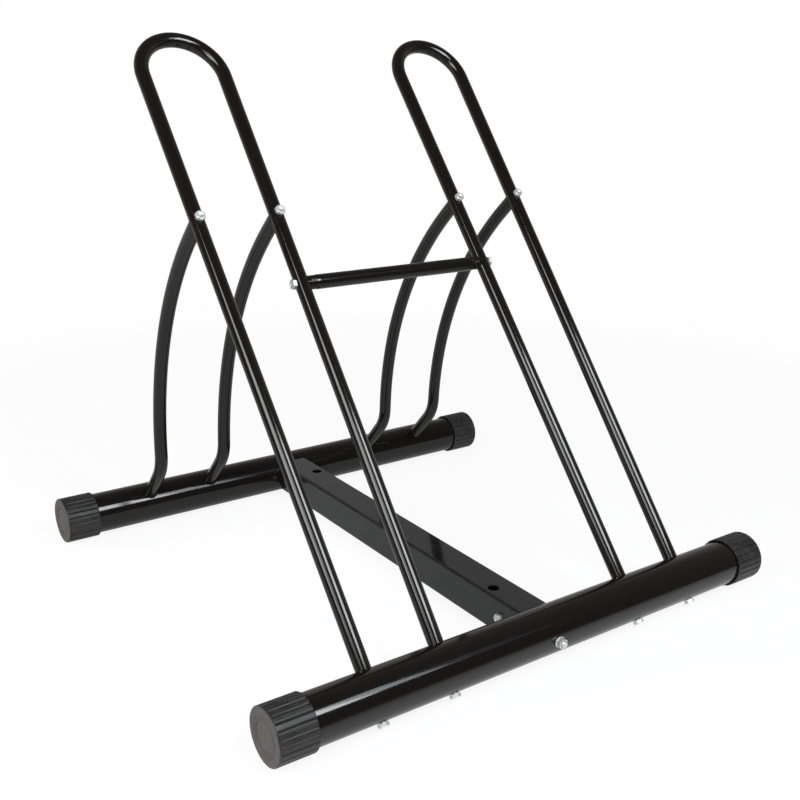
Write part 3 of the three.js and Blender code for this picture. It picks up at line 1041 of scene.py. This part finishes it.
studio = {
    "floorRadius": 9.0,
    "floorDrop": 0.2 * mm,
    "floorColour": (0.90, 0.90, 0.90),
    "shadowFades": (0.5, 1.8),     # distances between which the floor turns fully white
    "nearWhite": 0.89,
    "ambient": 0.28,
    "mirrored": 0.48,              # the white ground's level in the gloss
    # the same on the floor, over the distance in front of the rack, as painted light and shade: a
    # pool of light just in front of the rack, shade under and behind it, dimmer farther in front
    "frontStops": ((0.22, 0.48), (0.33, 1.0), (0.40, 0.75), (0.56, 0.12), (1, 0.05)),
    "darkTint": (1.0, 0.98, 0.96),
    "darkRadius": 7.5,
    "darkDrop": 1.5,
    "backdropRise": 12 * degree,
    "darkFades": (2.5, -3.0),      # towards the camera and away from it
    # the dark side's level behind the rack, from its lower edge up
    "darkStops": ((0, 0.50), (0.18, 0.42), (0.42, 0.32), (0.58, 0.20), (0.86, 0.08)),
    "darkFront": 0.045,
    "eye": Vector((-669.47, -955.53, 580.92)) * mm,
    "yaw": 0.62072,
    "pitch": 0.34495,
    "roll": 0.01698,
    "sensor": 36,
    "lens": 46.772,
    "shift": (-0.0063, 0.0447),
}
# A panel of radiance 1 shows as white.
softboxes = (
    {"name": "rightSoftbox", "at": (0.13, -1.16, 1.30), "facing": (-0.1, 1, -0.25),
     "size": (0.66, 0.70), "radiance": 13, "tint": (0.96, 0.99, 1.0)},
    {"name": "rightEdge", "at": (0.57, -1.12, 1.30), "facing": (-0.1, 1, -0.25),
     "size": (0.22, 0.62), "radiance": 5, "tint": (0.86, 0.94, 1.0)},
    {"name": "rightSpill", "at": (0.84, -1.12, 1.25), "facing": (-0.2, 1, -0.25),
     "size": (0.30, 0.56), "radiance": 0.3, "tint": (0.75, 0.88, 1.0)},
    {"name": "leftSoftbox", "at": (-1.15, -0.45, 0.94), "facing": (1, 0.25, -0.25),
     "size": (0.54, 0.90), "radiance": 7.5, "tint": (0.97, 0.99, 1.0)},
    {"name": "leftWing", "at": (-1.02, -0.93, 1.08), "facing": (0.8, 0.65, -0.30),
     "size": (0.36, 0.80), "radiance": 3.0, "tint": (1.0, 0.99, 0.96)},
    {"name": "leftFill", "at": (-1.60, 0.90, 0.50), "facing": (1, -0.35, -0.10),
     "size": (0.80, 0.80), "radiance": 10, "tint": (1.0, 0.98, 0.96), "mirrored": False},
)


def whiteRays(finish, mirrored):
    # which rays see the white ground, and at what level
    rays = [finish.node("ShaderNodeLightPath", output=ray)
            for ray in ("Is Camera Ray", "Is Glossy Ray", "Is Transmission Ray")]
    return rays[0].most(rays[1]).most(rays[2]), 1 - rays[1] * (1 - mirrored)


def makeFloor():
    clearSelection()
    bpy.ops.mesh.primitive_circle_add(
        vertices=96, radius=studio["floorRadius"], fill_type="NGON",
        location=(0, 0, -studio["floorDrop"]))
    floor = bpy.context.object
    floor.name = "studioFloor"
    finish = Finish("pale_floor")
    places = finish.places()
    inFront = finish.vectorMath("DOT_PRODUCT", {0: places, 1: tuple(-alongY)})
    # painted light and shade on the floor, seen only in the gloss, set by the distance in front of
    # the rack
    seen, level = whiteRays(finish, finish.ramp(inFront, studio["frontStops"]))
    distance = finish.vectorMath("LENGTH", {0: places})
    far = finish.easing(distance, *studio["shadowFades"], studio["nearWhite"])
    matt = finish.node("ShaderNodeBsdfDiffuse", {}, {"Color": colour(studio["floorColour"])})
    white = finish.glow(level, (1, 1, 1))
    finish.finishWith(finish.node("ShaderNodeMixShader", {}, {0: seen * far, 1: matt, 2: white}))
    finish.owner.cycles.emission_sampling = "NONE"
    floor.data.materials.append(finish.owner)


def makeWorld():
    world = bpy.data.worlds.new("studioWorld")
    bpy.context.scene.world = world
    finish = Finish("studio", world)
    seen, level = whiteRays(finish, studio["mirrored"])
    finish.finishWith(finish.node("ShaderNodeBackground", {}, {
        "Color": (1, 1, 1, 1), "Strength": studio["ambient"] * (1 - seen) + seen * level}))
    world.cycles.sampling_method = "NONE"


def makeDarkSide():
    # the unlit part of the studio over and round the rack, which only the gloss sees
    clearSelection()
    bpy.ops.mesh.primitive_uv_sphere_add(segments=64, ring_count=32,
                                         radius=studio["darkRadius"])
    shade = bpy.context.object
    shade.name = "studioDarkSide"
    startEditing(shade)
    towardsCamera = Vector((studio["eye"].x, studio["eye"].y, 0)).normalized()
    rise = studio["backdropRise"]
    normal = towardsCamera * math.sin(rise) + alongZ * math.cos(rise)
    bpy.ops.mesh.bisect(plane_co=tuple(normal * -studio["darkDrop"]),
                        plane_no=tuple(normal), clear_inner=True)
    clearSelection()
    finish = Finish("dark_side")
    places = finish.places()
    height = finish.vectorMath("DOT_PRODUCT", {0: places, 1: tuple(normal)})
    forward = finish.vectorMath("DOT_PRODUCT", {0: places, 1: tuple(towardsCamera)})
    behind = finish.easing(forward, *studio["darkFades"])
    rising = (height + studio["darkDrop"]) / (studio["darkDrop"] + studio["darkRadius"])
    level = studio["darkFront"] + (finish.ramp(rising, studio["darkStops"])
                                   - studio["darkFront"]) * behind
    finish.finishWith(finish.glow(level, studio["darkTint"]))
    finish.owner.cycles.emission_sampling = "NONE"
    shade.data.materials.append(finish.owner)
    shade.visible_camera = False
    shade.visible_diffuse = False
    shade.visible_shadow = False
    shade.visible_transmission = False


def makeSoftbox(box):
    lamp = bpy.data.lights.new(box["name"], "AREA")
    lamp.shape = "RECTANGLE"
    lamp.size, lamp.size_y = box["size"]
    # watts for a square panel of this radiance
    lamp.energy = box["radiance"] * math.pi * lamp.size * lamp.size_y
    lamp.color = box["tint"]
    holder = bpy.data.objects.new(box["name"], lamp)
    holder.location = box["at"]
    holder.rotation_euler = Vector(box["facing"]).to_track_quat("-Z", "Y").to_euler()
    holder.visible_glossy = box.get("mirrored", True)
    bpy.context.collection.objects.link(holder)


def makeCamera():
    yaw, pitch, roll = studio["yaw"], studio["pitch"], studio["roll"]
    ahead = Vector((math.cos(pitch) * math.sin(yaw), math.cos(pitch) * math.cos(yaw),
                    -math.sin(pitch)))
    across = Vector((math.cos(yaw), -math.sin(yaw), 0))
    up = across.cross(ahead)
    tiltedAcross = across * math.cos(roll) + up * math.sin(roll)
    tiltedUp = up * math.cos(roll) - across * math.sin(roll)
    camera = bpy.data.cameras.new("studioCamera")
    camera.lens = studio["lens"]
    camera.sensor_width = studio["sensor"]
    camera.shift_x, camera.shift_y = studio["shift"]
    holder = bpy.data.objects.new("studioCamera", camera)
    turn = Matrix((tiltedAcross, tiltedUp, -ahead)).transposed()
    holder.matrix_world = Matrix.Translation(studio["eye"]) @ turn.to_4x4()
    bpy.context.collection.objects.link(holder)
    bpy.context.scene.camera = holder


makeFloor()
makeWorld()
makeDarkSide()
for box in softboxes:
    makeSoftbox(box)
makeCamera()
bpy.context.scene.view_settings.view_transform = "Standard"
print("studio made")
